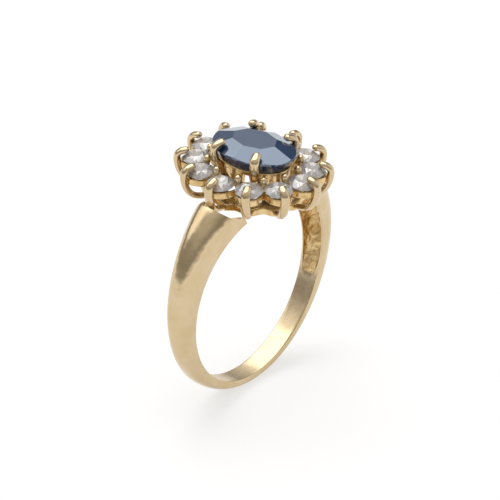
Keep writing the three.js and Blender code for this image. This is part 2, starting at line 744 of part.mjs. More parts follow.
add('shank', cut(bandBlank(), [shoulderHollow(1), shoulderHollow(-1), headPlug()]), GOLD);
add('lower_gallery_rail', cut(lowerRail(), clawTools), GOLD);
add('upper_gallery_rail', cut(upperRail(), [...seatTools, ...clawTools, ...beadTools]), GOLD);
clawAngles.forEach((angle, i) => add(`outer_claw_${number(i)}`, outerClaw(angle), GOLD));
beadAngles.forEach((angle, i) => {
  add(`inner_claw_${number(i)}`, cut(innerClaw(angle), centreTools), GOLD);
});
const collarTools = [sapphire(FIT), baseRail(FIT), ...centreTools, ...beadTools, ...seatTools];
add('centre_collar', cut(collar(), collarTools), GOLD);
add('centre_base_rail', cut(baseRail(), [...centreTools, ...beadTools]), GOLD);
centreAngles.forEach((angle, i) => add(`centre_claw_${i + 1}`, centreClaw(angle), GOLD));
add('sapphire', sapphire(), BLUE);
clawAngles.forEach((angle, i) => {
  add(`diamond_${number(i)}`, intoSeat(brilliant(), angle), WHITE);
});

export default ring;
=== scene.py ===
"""Engagement ring: a fine, smooth version of every CAD piece, in metres, in the part's own frame.

+Z is up through the head, +Y is the axis of the finger hole, and the origin is its centre.
Sizes below are in millimetres. The overall sizes of the band and the stones come from the frame.
"""
from math import asin, atan2, cos, degrees, pi, radians, sin, sqrt

import bmesh
import bpy
import numpy as np
from mathutils import Matrix, Vector


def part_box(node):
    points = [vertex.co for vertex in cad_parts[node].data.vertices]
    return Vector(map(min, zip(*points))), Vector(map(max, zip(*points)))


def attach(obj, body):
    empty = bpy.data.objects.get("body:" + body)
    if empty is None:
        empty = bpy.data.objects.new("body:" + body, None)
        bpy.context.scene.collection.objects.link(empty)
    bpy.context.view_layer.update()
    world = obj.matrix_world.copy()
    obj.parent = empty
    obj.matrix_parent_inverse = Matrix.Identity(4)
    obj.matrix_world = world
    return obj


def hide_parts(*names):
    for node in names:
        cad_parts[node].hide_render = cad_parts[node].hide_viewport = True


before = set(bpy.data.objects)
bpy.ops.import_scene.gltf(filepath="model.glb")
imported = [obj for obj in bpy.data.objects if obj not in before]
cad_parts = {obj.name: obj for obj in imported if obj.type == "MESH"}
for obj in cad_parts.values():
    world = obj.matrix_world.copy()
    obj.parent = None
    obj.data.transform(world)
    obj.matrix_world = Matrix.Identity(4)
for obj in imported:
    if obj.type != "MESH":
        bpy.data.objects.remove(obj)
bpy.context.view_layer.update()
MM = 0.001


def node_box(node):
    """Lowest corner, highest corner and size of a CAD node, in millimetres."""
    low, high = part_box(node)
    low = np.array(low) / MM
    high = np.array(high) / MM
    return low, high, high - low


# ---------------------------------------------------------------- sizes

FIT = 0.03

# Band.
BAND_LOW, _, BAND_SIZE = node_box("shank")
FINGER_RADIUS = 8.65
CROWN_RADIUS = BAND_SIZE[0] / 2
CROWN_RISE = CROWN_RADIUS + BAND_LOW[2]
BAND_WIDTH_BASE = 1.85
BAND_WIDTH_TOP = 5.95
BAND_FLARE = 3.45
BAND_EDGE = 0.45
BAND_DOME = 2.6
BAND_END = radians(156)
HOLLOW_START = radians(70)
HOLLOW_ROUND = radians(16)
HOLLOW_RAMP = radians(26)
HOLLOW_RIM = 0.18
HOLLOW_WALL = 0.8
HOLLOW_LEAST_LIP = 0.3
RIM_ROUNDING = 0.09
SIDE_MARGIN = 0.05
BAND_STATIONS = 300
DOME_STEPS = 36
INSIDE_STEPS = 44
# Share of the points across the inside that lie within the hollow's lips.
HOLLOW_POINTS = 0.86

# Halo.
HALO_COUNT = 12
DIAMOND_RADIUS = node_box("diamond_04")[2][0] / 2
HALO_REACH = 5.05
OVAL_DIFFERENCE = 0.55
HALO_Z = 11.4
HALO_TILT = radians(6)
DIAMOND_TABLE = 0.56
DIAMOND_CROWN = 0.36
DIAMOND_PAVILION = 1.0
DIAMOND_GIRDLE = 0.05
# Ends of the small facets, as shares of the radius, the crown and the pavilion.
STAR_INNER = 0.93
STAR_OUTER = 0.8
STAR_RISE = 0.58
HALF_RISE = 0.56
LOWER_INNER = 0.25
LOWER_DEPTH = 0.79
DIAMOND_SPIN = 0.71

# Outer claws, which swell from the foot to the girdle and are flatter than they are wide.
CLAW_RADIUS = 0.4
CLAW_FOOT_RADIUS = 0.33
CLAW_TIP_RADIUS = 0.37
CLAW_FLAT = 0.75
CLAW_STANDOFF = 0.12
CLAW_GIRDLE = DIAMOND_RADIUS + CLAW_RADIUS * CLAW_FLAT + CLAW_STANDOFF
CLAW_GRIP = 0.4
CLAW_FOOT_INSET = 0.3
CLAW_FOOT_Z = 8.98

# Gallery rails. The lower one has a flat flange inside it.
LOWER_RAIL_REACH = 4.32
LOWER_RAIL_Z = 9.05
LOWER_RAIL_WAVE = 0.14
LOWER_RAIL_HEIGHT = 0.7
LOWER_RAIL_WALL = 0.55
LOWER_RAIL_ROUNDING = 0.17
FLANGE_WIDTH = 1.4
FLANGE_THICKNESS = 0.36
FLANGE_ROUNDING = 0.12
UPPER_RAIL_CUSP = 4.66
UPPER_RAIL_Z = 10.78
UPPER_RAIL_HEIGHT = 0.58
UPPER_RAIL_WALL = 0.5
UPPER_RAIL_ROUNDING = 0.1
UPPER_RAIL_BITE = 0.12
RAIL_STEPS = 288
CLAW_INSIDE = HALO_REACH + CLAW_GIRDLE * 0.955 - CLAW_RADIUS * CLAW_FLAT
UPPER_RAIL_LOBE = CLAW_INSIDE - UPPER_RAIL_WALL / 2 + UPPER_RAIL_BITE

# Inner claws.
BEAD_RADIUS = 0.33
STEM_RADIUS = 0.24
BEAD_LIFT = 0.45

# Centre stone and its basket, which has two windows in each long side.
_, STONE_HIGH, STONE_SIZE = node_box("sapphire")
SAPPHIRE_X = STONE_SIZE[0] / 2
SAPPHIRE_Y = STONE_SIZE[1] / 2
SAPPHIRE_CROWN = 0.72
SAPPHIRE_Z = STONE_HIGH[2] - SAPPHIRE_CROWN
SAPPHIRE_TABLE = 0.55
SAPPHIRE_GIRDLE = 0.1
SAPPHIRE_SHELF = 0.95
SAPPHIRE_SHELF_WIDTH = 0.87
SAPPHIRE_WAIST = 1.75
SAPPHIRE_WAIST_WIDTH = 0.58
SAPPHIRE_PAVILION = 2.5
SAPPHIRE_POINT_WIDTH = 0.12
SAPPHIRE_UPPER_CORNER = 0.86
SAPPHIRE_LOWER_CORNER = 0.9
CENTRE_CLAW_RADIUS = 0.42
CENTRE_CLAW_TIP_RADIUS = 0.4
CENTRE_CLAW_FLAT = 0.7
CENTRE_CLAW_STANDOFF = 0.1
CENTRE_CLAW_GRIP = 0.36
CENTRE_CLAW_ANGLE = radians(31)
COLLAR_WALL = 0.5
COLLAR_LIP = 0.05
COLLAR_TOP_Z = SAPPHIRE_Z - SAPPHIRE_SHELF - COLLAR_LIP
COLLAR_WINDOW_TOP = 0.45
WINDOW_FIRST = 8
WINDOW_LAST = 25
BASE_RAIL_RADIUS = 0.27
BASE_RAIL_Z = 10.2
BASKET_TAPER = 0.25
COLLAR_ROUNDING = 0.1
COLLAR_STEPS = 360
BASE_RAIL_STEPS = 144

UP = np.array([0.0, 0.0, 1.0])


# ---------------------------------------------------------------- camera

CAMERA_AZIMUTH = radians(-53.1)
CAMERA_ELEVATION = radians(30)
CAMERA_ROLL = radians(1.85)
CAMERA_DISTANCE = 0.45
CAMERA_LENS = 384.3
CAMERA_AIM = 2.63 * MM


def add_camera():
    """A long lens, so the ring is seen almost without perspective."""
    a, e = CAMERA_AZIMUTH, CAMERA_ELEVATION
    back = Vector((sin(a) * cos(e), -cos(a) * cos(e), sin(e)))
    right = Vector((cos(a), sin(a), 0))
    up = back.cross(right)
    rolled_right = cos(CAMERA_ROLL) * right + sin(CAMERA_ROLL) * up
    rolled_up = back.cross(rolled_right)
    data = bpy.data.cameras.new("camera")
    data.lens = CAMERA_LENS
    data.sensor_width = 36
    data.clip_start = 0.01
    camera = bpy.data.objects.new("camera", data)
    axes = Matrix((rolled_right, rolled_up, back)).transposed().to_4x4()
    place = back * CAMERA_DISTANCE + rolled_up * CAMERA_AIM
    camera.matrix_world = Matrix.Translation(place) @ axes
    bpy.context.scene.collection.objects.link(camera)
    bpy.context.scene.camera = camera


add_camera()


# ---------------------------------------------------------------- materials

def new_material(name):
    """A material, its node tree and its Principled shader."""
    material = bpy.data.materials.new(name)
    material.use_nodes = True
    tree = material.node_tree
    shader = tree.nodes["Principled BSDF"]
    return material, tree, shader


def node(tree, kind, inputs=None, **settings):
    """Adds a node with some settings and socket values."""
    made = tree.nodes.new(kind)
    for key, value in settings.items():
        setattr(made, key, value)
    for key, value in (inputs or {}).items():
        made.inputs[key].default_value = value
    return made


def noise(tree, scale, detail=3.0, roughness=0.5, stretch=None):
    """Noise in the part's own millimetres, so that its grain keeps its real size."""
    place = node(tree, "ShaderNodeTexCoord")
    size = node(tree, "ShaderNodeMapping")
    size.inputs["Scale"].default_value = stretch or (1, 1, 1)
    tree.links.new(place.outputs["Object"], size.inputs["Vector"])
    made = node(tree, "ShaderNodeTexNoise", {"Scale": scale / MM, "Detail": detail})
    made.inputs["Roughness"].default_value = roughness
    tree.links.new(size.outputs["Vector"], made.inputs["Vector"])
    return made


def ramp(tree, source, stops):
    """Turns a value into a colour. Each stop is a place from 0 to 1 and a colour."""
    made = node(tree, "ShaderNodeValToRGB")
    elements = made.color_ramp.elements
    while len(elements) < len(stops):
        elements.new(0.5)
    for element, (place, colour) in zip(elements, stops):
        element.position = place
        element.color = (*colour, 1)
    tree.links.new(source, made.inputs["Fac"])
    return made


def gold(name, colours, roughness, wave, grain, stretch=None):
    """Yellow gold. wave and grain are a scale per millimetre, a strength and a height."""
    material, tree, shader = new_material(name)
    shader.inputs["Metallic"].default_value = 1
    tone = ramp(tree, noise(tree, wave[0], 3).outputs["Fac"],
                [(0.32, colours[0]), (0.62, colours[1])])
    tree.links.new(tone.outputs["Color"], shader.inputs["Base Color"])
    smear = node(tree, "ShaderNodeMapRange")
    smear.inputs["From Min"].default_value = 0.3
    smear.inputs["From Max"].default_value = 0.75
    smear.inputs["To Min"].default_value = roughness[0]
    smear.inputs["To Max"].default_value = roughness[1]
    tree.links.new(noise(tree, 1.6, 5).outputs["Fac"], smear.inputs["Value"])
    tree.links.new(smear.outputs["Result"], shader.inputs["Roughness"])
    broad = node(tree, "ShaderNodeBump", {"Strength": wave[1], "Distance": wave[2] * MM})
    tree.links.new(noise(tree, wave[0], 2).outputs["Fac"], broad.inputs["Height"])
    fine = node(tree, "ShaderNodeBump", {"Strength": grain[1], "Distance": grain[2] * MM})
    tree.links.new(noise(tree, grain[0], 6, 0.6, stretch).outputs["Fac"], fine.inputs["Height"])
    tree.links.new(broad.outputs["Normal"], fine.inputs["Normal"])
    tree.links.new(fine.outputs["Normal"], shader.inputs["Normal"])
    return material


def polished_gold():
    """Claws, which keep the brightest polish."""
    return gold("polished_gold", [(0.61, 0.475, 0.285), (0.66, 0.52, 0.33)],
                (0.07, 0.19), (0.5, 0.35, 0.03), (9, 0.5, 0.002))


def band_gold():
    """The outside of the band, which has soft dents and streaks from years of wear."""
    return gold("band_gold", [(0.61, 0.47, 0.265), (0.66, 0.52, 0.33)],
                (0.08, 0.2), (0.6, 0.8, 0.1), (2.2, 0.5, 0.025), (0.3, 1, 0.3))


def gallery_gold_painted_shade():
    """Rails and basket: a rougher finish where a polishing wheel doesn't reach well, and a
    deeper, more saturated tone that is painted shade for parts sitting in shade under the head.
    """
    # These deeper, more saturated colours are painted shade under the head; the higher roughness
    # and bump are the rougher finish.
    return gold("gallery_gold_painted_shade", [(0.6, 0.4, 0.165), (0.74, 0.56, 0.3)],
                (0.12, 0.3), (1.3, 0.7, 0.09), (5, 0.7, 0.025))


def worn_gold():
    """The inside of the band, dulled by wear against the finger."""
    return gold("worn_gold", [(0.64, 0.5, 0.31), (0.7, 0.56, 0.36)],
                (0.2, 0.32), (0.6, 0.5, 0.06), (10, 0.3, 0.0015))


def cast_gold():
    """The unpolished inside of a hollow, as it came out of the mould."""
    return gold("cast_gold", [(0.5, 0.33, 0.13), (0.84, 0.63, 0.33)],
                (0.12, 0.28), (0.75, 1.0, 0.5), (3.4, 0.9, 0.11))


def sapphire_material():
    """Deep blue stone with a strong polish and faint darker silk inside."""
    material, tree, shader = new_material("sapphire_blue")
    silk = noise(tree, 0.7, 3, 0.6)
    stops = [(0.35, (0.008, 0.028, 0.072)), (0.7, (0.014, 0.044, 0.11))]
    tone = ramp(tree, silk.outputs["Fac"], stops)
    tree.links.new(tone.outputs["Color"], shader.inputs["Base Color"])
    shader.inputs["Roughness"].default_value = 0.04
    shader.inputs["IOR"].default_value = 2.0
    shader.inputs["Specular Tint"].default_value = (0.8, 0.9, 1.0, 1)
    shader.inputs["Coat Weight"].default_value = 0.6
    shader.inputs["Coat Roughness"].default_value = 0.02
    shader.inputs["Coat IOR"].default_value = 1.6
    shader.inputs["Coat Tint"].default_value = (0.85, 0.92, 1.0, 1)
    return material


def diamond_material():
    """Clear, strongly refracting stone with a trace of haze and inclusions."""
    material, tree, shader = new_material("diamond_clear")
    cloud = noise(tree, 1.1, 4, 0.6)
    stops = [(0.35, (0.98, 0.935, 0.905)), (0.65, (1.0, 0.975, 0.95))]
    tone = ramp(tree, cloud.outputs["Fac"], stops)
    tree.links.new(tone.outputs["Color"], shader.inputs["Base Color"])
    shader.inputs["Roughness"].default_value = 0.0
    shader.inputs["IOR"].default_value = 2.3
    shader.inputs["Transmission Weight"].default_value = 0.75
    shader.inputs["Coat Weight"].default_value = 0.6
    shader.inputs["Coat IOR"].default_value = 1.7
    shader.inputs["Coat Roughness"].default_value = 0.01
    return material


# ---------------------------------------------------------------- mesh tools

def finish_piece(mesh_object, replaced, materials, smooth_angle):
    """Gives a piece its finish, its shading and its place on the part."""
    for material in materials:
        mesh_object.data.materials.append(material)
    mesh = mesh_object.data
    if smooth_angle is None:
        mesh.shade_flat()
    else:
        mesh.shade_smooth()
        mesh.set_sharp_from_angle(angle=smooth_angle)
    bpy.context.scene.collection.objects.link(mesh_object)
    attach(mesh_object, "root")
    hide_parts(replaced)
    return mesh_object


def outwards(made):
    bmesh.ops.recalc_face_normals(made, faces=made.faces)


def mesh_from(name, points, faces):
    """Mesh object from points in millimetres."""
    made = bmesh.new()
    corners = [made.verts.new(Vector(p) * MM) for p in points]
    for face in faces:
        made.faces.new([corners[i] for i in face])
    outwards(made)
    mesh = bpy.data.meshes.new(name)
    made.to_mesh(mesh)
    made.free()
    return bpy.data.objects.new(name, mesh)


def skin(name, rings, closed=False):
    """Skins a row of rings of equal length. An open row gets one flat face at each end."""
    count = len(rings[0])
    points = [p for ring in rings for p in ring]
    faces = []
    last = len(rings) if closed else len(rings) - 1
    for i in range(last):
        row = i * count
        after = (i + 1) % len(rings) * count
        for j in range(count):
            k = (j + 1) % count
            faces.append((row + j, row + k, after + k, after + j))
    if not closed:
        faces.append(tuple(reversed(range(count))))
        faces.append(tuple(range((len(rings) - 1) * count, len(rings) * count)))
    return mesh_from(name, points, faces)


def cut_away(mesh_object, tools):
    """Cuts tool objects out of a piece, then removes them."""
    for tool in tools:
        bpy.context.scene.collection.objects.link(tool)
    bpy.context.scene.collection.objects.link(mesh_object)
    for tool in tools:
        modifier = mesh_object.modifiers.new("cut", "BOOLEAN")
        modifier.operation = "DIFFERENCE"
        modifier.solver = "EXACT"
        modifier.object = tool
    graph = bpy.context.evaluated_depsgraph_get()
    mesh = bpy.data.meshes.new_from_object(mesh_object.evaluated_get(graph))
    mesh_object.modifiers.clear()
    mesh_object.data = mesh
    bpy.context.scene.collection.objects.unlink(mesh_object)
    for tool in tools:
        bpy.data.objects.remove(tool)
    return mesh_object


def smooth_path(points, samples=400):
    """Centripetal Catmull-Rom curve through the points, evenly spaced along its length."""
    points = [np.array(p, float) for p in points]
    points = [2 * points[0] - points[1], *points, 2 * points[-1] - points[-2]]
    line = []
    for p0, p1, p2, p3 in zip(points, points[1:], points[2:], points[3:]):
        t0 = 0.0
        t1 = t0 + np.linalg.norm(p1 - p0) ** 0.5
        t2 = t1 + np.linalg.norm(p2 - p1) ** 0.5
        t3 = t2 + np.linalg.norm(p3 - p2) ** 0.5
        for t in np.linspace(t1, t2, 40):
            a1 = (t1 - t) / (t1 - t0) * p0 + (t - t0) / (t1 - t0) * p1
            a2 = (t2 - t) / (t2 - t1) * p1 + (t - t1) / (t2 - t1) * p2
            a3 = (t3 - t) / (t3 - t2) * p2 + (t - t2) / (t3 - t2) * p3
            b1 = (t2 - t) / (t2 - t0) * a1 + (t - t0) / (t2 - t0) * a2
            b2 = (t3 - t) / (t3 - t1) * a2 + (t - t1) / (t3 - t1) * a3
            line.append((t2 - t) / (t2 - t1) * b1 + (t - t1) / (t2 - t1) * b2)
    line = np.array(line)
    steps = np.linalg.norm(np.diff(line, axis=0), axis=1)
    run = np.concatenate([[0], np.cumsum(steps)])
    even = np.linspace(0, run[-1], samples)
    return np.stack([np.interp(even, run, line[:, i]) for i in range(3)], 1)


def wire_rings(points, across, radius_at, steps=30, sides=20, flatten=1.0):
    """Rings of a wire with domed ends. flatten is how thick it is for its width."""
    line = smooth_path(points)
    tangents = np.gradient(line, axis=0)
    tangents /= np.linalg.norm(tangents, axis=1)[:, None]

    def ring(centre, along, radius):
        up = np.cross(across, along)
        turns = np.linspace(0, 2 * pi, sides, endpoint=False)
        return [centre + across * cos(t) * radius + up * sin(t) * radius * flatten
                for t in turns]

    def dome(share, sign):
        index = 0 if sign < 0 else -1
        radius = radius_at(share)
        angles = [radians(a) for a in (15, 30, 45, 60, 75, 86)]
        rings = [ring(line[index] + sign * tangents[index] * radius * flatten * sin(a),
                      tangents[index], radius * cos(a)) for a in angles]
        return rings[::-1] if sign < 0 else rings

    middle = []
    for i in range(steps + 1):
        share = i / steps
        at = min(len(line) - 1, round(share * (len(line) - 1)))
        middle.append(ring(line[at], tangents[at], radius_at(share)))
    return dome(0, -1) + middle + dome(1, 1)


def smoothstep(value, low, high):
    """Eases from 0 at low to 1 at high."""
    t = min(1.0, max(0.0, (value - low) / (high - low)))
    return t * t * (3 - 2 * t)


def on_oval(reach, angle, z):
    """Point on an oval with this half length along Y."""
    return np.array([(reach - OVAL_DIFFERENCE) * cos(angle), reach * sin(angle), z])


def outward(half_x, half_y, angle):
    """Direction straight out from an oval with these half lengths."""
    out = np.array([cos(angle) / half_x, sin(angle) / half_y, 0])
    return out / np.linalg.norm(out)


# ---------------------------------------------------------------- band

def crown_radius(angle):
    """Distance from the hole's centre to the band's ridge. Angles start at the bottom."""
    side = CROWN_RISE * sin(angle)
    return -CROWN_RISE * cos(angle) + sqrt(CROWN_RADIUS ** 2 - side ** 2)


def band_width(angle):
    """Width of the band, which widens quickly towards the head."""
    share = abs(angle) / pi
    return BAND_WIDTH_BASE + (BAND_WIDTH_TOP - BAND_WIDTH_BASE) * share ** BAND_FLARE


def band_point(angle, radius, y):
    """Point at an angle from the bottom of the band, a radius and a place across it."""
    return np.array([radius * sin(angle), y, -radius * cos(angle)])


def hollow_half_width(angle):
    """Half the hollow's width, which opens from nothing along a rounded start."""
    run = min(1.0, max(0.0, (abs(angle) - HOLLOW_START) / HOLLOW_ROUND))
    opening = sqrt(1 - (1 - run) ** 2)
    return (band_width(angle) / 2 - HOLLOW_RIM) * sqrt(opening)


def hollow_depth(angle, y):
    """How deep the shoulder's hollow is at a place on the inside of the band."""
    angle = abs(angle)
    if angle <= HOLLOW_START:
        return 0.0
    ramp_share = min(1, (angle - HOLLOW_START) / HOLLOW_RAMP)
    full = (crown_radius(angle) - HOLLOW_WALL - FINGER_RADIUS) * sin(ramp_share * pi / 2)
    side = min(1.0, abs(y) / max(hollow_half_width(angle), 1e-6))
    return full * sqrt(max(0.0, 1 - side ** BAND_DOME))


def dome_points(angle):
    """Outside of the band's section, from one side face over the ridge to the other."""
    half_width = band_width(angle) / 2
    edge = FINGER_RADIUS + BAND_EDGE
    top = crown_radius(angle)
    points = []
    for i in range(DOME_STEPS + 1):
        side = sin((i / DOME_STEPS - 0.5) * pi)
        rise = sqrt(max(0.0, 1 - abs(side) ** BAND_DOME))
        points.append(band_point(angle, edge + (top - edge) * rise, side * half_width))
    return points


def side_points(angle, side):
    """One side face and the rounding under it, from the dome inwards. side is 1 or -1."""
    half_width = band_width(angle) / 2
    edge = FINGER_RADIUS + BAND_EDGE
    below = FINGER_RADIUS + RIM_ROUNDING + SIDE_MARGIN
    points = [band_point(angle, edge - SIDE_MARGIN, side * half_width),
              band_point(angle, below, side * half_width)]
    for i in range(5):
        turn = i / 4 * pi / 2
        y = side * (half_width - RIM_ROUNDING * (1 - cos(turn)))
        points.append(band_point(angle, FINGER_RADIUS + RIM_ROUNDING * (1 - sin(turn)), y))
    return points


def inside_points(angle):
    """Inside of the band's section, with points closer together by the hollow's lips."""
    inner = band_width(angle) / 2 - RIM_ROUNDING
    lip = max(HOLLOW_LEAST_LIP, hollow_half_width(angle))
    points = []
    for i in range(1, INSIDE_STEPS):
        share = i / INSIDE_STEPS * 2 - 1
        if abs(share) < HOLLOW_POINTS:
            spread = lip * sin(abs(share) / HOLLOW_POINTS * pi / 2)
        else:
            beyond = (abs(share) - HOLLOW_POINTS) / (1 - HOLLOW_POINTS)
            spread = lip + (inner - lip) * beyond
        y = -np.sign(share) * min(spread, inner)
        points.append(band_point(angle, FINGER_RADIUS + hollow_depth(angle, y), y))
    return points


def band_ring(angle):
    """Section of the band: dome outside, side faces with rounded rims, and the inside."""
    inside_face = inside_points(angle)
    return dome_points(angle) + side_points(angle, 1) + inside_face + side_points(angle, -1)[::-1]


def head_plug():
    """The head's outline, which the ends of the shoulders are cut to."""
    angle = 0.0
    rows = 25
    line = smooth_path(outer_claw_path(angle))
    tangents = np.gradient(line, axis=0)
    tangents /= np.linalg.norm(tangents, axis=1)[:, None]
    flat = halo_out(angle)
    start = on_oval(HALO_REACH, angle, 0)
    away = CLAW_RADIUS * CLAW_FLAT + FIT * 2
    levels = [(CLAW_FOOT_Z - CLAW_RADIUS - FIT * 2, -CLAW_FOOT_INSET - 0.1)]
    for share in np.linspace(0, 0.7, rows):
        at = round(share * (len(line) - 1))
        rise = tangents[at][2]
        run = tangents[at] @ flat
        back = line[at] + flat * rise * away - UP * run * away
        along = (back - start) @ flat
        if back[2] > levels[-1][0] + 0.01:
            levels.append((back[2], along + FIT))
    levels.append((levels[-1][0] + 3, levels[-1][1]))
    rings = []
    for z, along in levels:
        turns = np.linspace(0, 2 * pi, 96, endpoint=False)
        rings.append([on_oval(HALO_REACH, t, z) + halo_out(t) * along for t in turns])
    return skin("plug", rings)


def band_finish(face):
    """Which finish a face of the band has: 0 outside, 1 against the finger, 2 in a hollow."""
    centre = np.array(face.center) / MM
    radius = np.hypot(centre[0], centre[2])
    angle = atan2(centre[0], -centre[2])
    facing = np.array(face.normal) @ band_point(angle, 1, 0)
    deep = radius > FINGER_RADIUS + 0.06
    inwards = facing < -0.3 or facing < 0.35 and face.normal.y * centre[1] < 0
    inside = inwards and abs(centre[1]) < band_width(angle) / 2 - HOLLOW_RIM * 0.7
    top = crown_radius(angle) - HOLLOW_WALL * 0.6
    if deep and inside and radius < top and abs(angle) > HOLLOW_START:
        return 2
    return 1 if radius < FINGER_RADIUS + 0.02 else 0


def add_band(outside_gold, inside_gold, hollow_gold):
    """One casting, cut back where the head stands."""
    stations = np.linspace(-BAND_END, BAND_END, BAND_STATIONS)
    band = skin("band", [band_ring(a) for a in stations])
    band = cut_away(band, [head_plug()])
    finish_piece(band, "shank", [outside_gold, inside_gold, hollow_gold], radians(38))
    for face in band.data.polygons:
        face.material_index = band_finish(face)
    return band


# ---------------------------------------------------------------- halo

def halo_out(angle):
    """Level direction straight out from the halo."""
    return outward(HALO_REACH - OVAL_DIFFERENCE, HALO_REACH, angle)


def halo_seat(angle):
    """Centre of a halo stone, the level way out, the way out along its girdle, and its up."""
    flat = halo_out(angle)
    out = flat * cos(HALO_TILT) - UP * sin(HALO_TILT)
    normal = UP * cos(HALO_TILT) + flat * sin(HALO_TILT)
    return on_oval(HALO_REACH, angle, HALO_Z), flat, out, normal


def diamond_crown_at(radius):
    """Height of a halo stone's crown at a distance from its middle."""
    table = DIAMOND_RADIUS * DIAMOND_TABLE
    return DIAMOND_CROWN * min(1, (DIAMOND_RADIUS - radius) / (DIAMOND_RADIUS - table))


def outer_claw_path(angle):
    """From beside the lower rail, out past the girdle and over the stone's crown."""
    centre, flat, out, normal = halo_seat(angle)
    girdle = CLAW_GIRDLE
    grip = DIAMOND_RADIUS - CLAW_GRIP
    tip = diamond_crown_at(grip) + CLAW_TIP_RADIUS * CLAW_FLAT + FIT * 2
    climb = HALO_Z - CLAW_FOOT_Z

    def below(along, z):
        point = centre + flat * along
        return np.array([point[0], point[1], z])

    return [
        below(-CLAW_FOOT_INSET, CLAW_FOOT_Z),
        below(girdle * 0.36, CLAW_FOOT_Z + climb * 0.1),
        below(girdle * 0.72, CLAW_FOOT_Z + climb * 0.32),
        below(girdle * 0.94, CLAW_FOOT_Z + climb * 0.66),
        centre + out * girdle,
        centre + out * (girdle - 0.1) + normal * tip * 0.54,
        centre + out * (girdle + grip) / 2 + normal * tip * 0.93,
        centre + out * grip + normal * (tip + 0.03),
    ]


def add_outer_claw(index, angle, material):
    """Claw that swells from its foot to the girdle and bends over the stone."""
    across = np.cross(UP, halo_out(angle))

    def radius_at(share):
        swollen = (CLAW_RADIUS - CLAW_FOOT_RADIUS) * smoothstep(share, 0, 0.6)
        slim = (CLAW_TIP_RADIUS - CLAW_RADIUS) * smoothstep(share, 0.7, 1)
        return CLAW_FOOT_RADIUS + swollen + slim

    rings = wire_rings(outer_claw_path(angle), across, radius_at, 40, 24, CLAW_FLAT)
    name = f"outer_claw_{index + 1:02d}"
    claw = skin(f"{name}_piece", rings)
    return finish_piece(claw, name, [material], radians(60))


def rail_section(wall, height, corner, steps=5):
    """Rounded rectangle as (side, rise) pairs."""
    points = []
    corners = [(1, 1, 0), (-1, 1, 90), (-1, -1, 180), (1, -1, 270)]
    for side, rise, start in corners:
        for i in range(steps + 1):
            turn = radians(start + 90 * i / steps)
            points.append((side * (wall / 2 - corner) + corner * cos(turn),
                           rise * (height / 2 - corner) + corner * sin(turn)))
    return points


def rail_rings(path, section):
    """Rings of a rail whose section stays upright all the way round."""
    rings = []
    for i in range(RAIL_STEPS):
        angle = i / RAIL_STEPS * 2 * pi
        centre, out = path(angle), halo_out(angle)
        rings.append([centre + out * side + UP * rise for side, rise in section])
    return rings


def add_lower_rail(material):
    """The rim rises between the claws, while the flange inside it stays level."""
    rim = rail_section(LOWER_RAIL_WALL, LOWER_RAIL_HEIGHT, LOWER_RAIL_ROUNDING)
    half = LOWER_RAIL_WALL / 2
    first = next(i for i, (side, rise) in enumerate(rim) if side < 0 and rise < 0)
    last_above = max(i for i in range(first) if rim[i][1] > 0)
    edge = rail_section(FLANGE_THICKNESS, FLANGE_THICKNESS, FLANGE_ROUNDING)
    inner = -half - FLANGE_WIDTH + FLANGE_THICKNESS / 2
    flange = [(side + inner, rise) for side, rise in edge if side < 0]
    t = FLANGE_THICKNESS / 2
    flange = [(-half, t), (inner + 0.3, t), *flange, (inner + 0.3, -t), (-half, -t)]
    rings = []
    for i in range(RAIL_STEPS):
        angle = i / RAIL_STEPS * 2 * pi
        wave = -LOWER_RAIL_WAVE * cos(angle * HALO_COUNT)
        centre = on_oval(LOWER_RAIL_REACH, angle, LOWER_RAIL_Z)
        out = halo_out(angle)
        ring = [centre + out * side + UP * (rise + wave) for side, rise in rim]
        middle = [centre + out * side + UP * rise for side, rise in flange]
        rings.append(ring[:last_above + 1] + middle + ring[first:])
    rail = skin("lower_rail", rings, closed=True)
    return finish_piece(rail, "lower_gallery_rail", [material], radians(50))


def seat_cone(angle):
    """Cone that cuts a stone's seat out of the rail under it."""
    centre, flat, out, normal = halo_seat(angle)
    across = np.cross(UP, flat)
    slope = DIAMOND_PAVILION / DIAMOND_RADIUS
    radius = DIAMOND_RADIUS + FIT * 2
    levels = [(radius, 0.5), (radius, -DIAMOND_GIRDLE),
              (0.02, -DIAMOND_GIRDLE - radius * slope - FIT)]
    rings = []
    for size, rise in levels:
        turns = np.linspace(0, 2 * pi, 32, endpoint=False)
        rings.append([centre + normal * rise + (out * cos(t) + across * sin(t)) * size
                      for t in turns])
    return skin("seat_tool", rings)


def add_upper_rail(angles, material):
    """Rail that swings out under each halo stone and in at each inner claw."""
    def path(angle):
        lobe = abs(cos(angle * HALO_COUNT / 2)) ** 0.75
        reach = UPPER_RAIL_CUSP + (UPPER_RAIL_LOBE - UPPER_RAIL_CUSP) * lobe
        return on_oval(reach, angle, UPPER_RAIL_Z)

    section = rail_section(UPPER_RAIL_WALL, UPPER_RAIL_HEIGHT, UPPER_RAIL_ROUNDING)
    rail = skin("upper_rail", rail_rings(path, section), closed=True)
    rail = cut_away(rail, [seat_cone(a) for a in angles])
    return finish_piece(rail, "upper_gallery_rail", [material], radians(40))


# ---------------------------------------------------------------- stones

def cut_gem(name, planes, size, height):
    """Cuts a block down to a faceted stone. Each plane is a normal and a distance."""
    made = bmesh.new()
    bmesh.ops.create_cube(made, size=2)
    bmesh.ops.scale(made, vec=(size, size, height), verts=made.verts)
    for normal, distance in planes:
        direction = Vector(normal).normalized()
        reach = distance / Vector(normal).length
        everything = [*made.verts, *made.edges, *made.faces]
        result = bmesh.ops.bisect_plane(made, geom=everything, plane_co=direction * reach,
                                        plane_no=direction, clear_outer=True, dist=1e-6)
        rim = [g for g in result["geom_cut"] if isinstance(g, bmesh.types.BMEdge)]
        if rim:
            bmesh.ops.holes_fill(made, edges=rim, sides=0)
    bmesh.ops.remove_doubles(made, verts=made.verts, dist=1e-5)
    outwards(made)
    mesh = bpy.data.meshes.new(name)
    made.to_mesh(mesh)
    made.free()
    return bpy.data.objects.new(name, mesh)


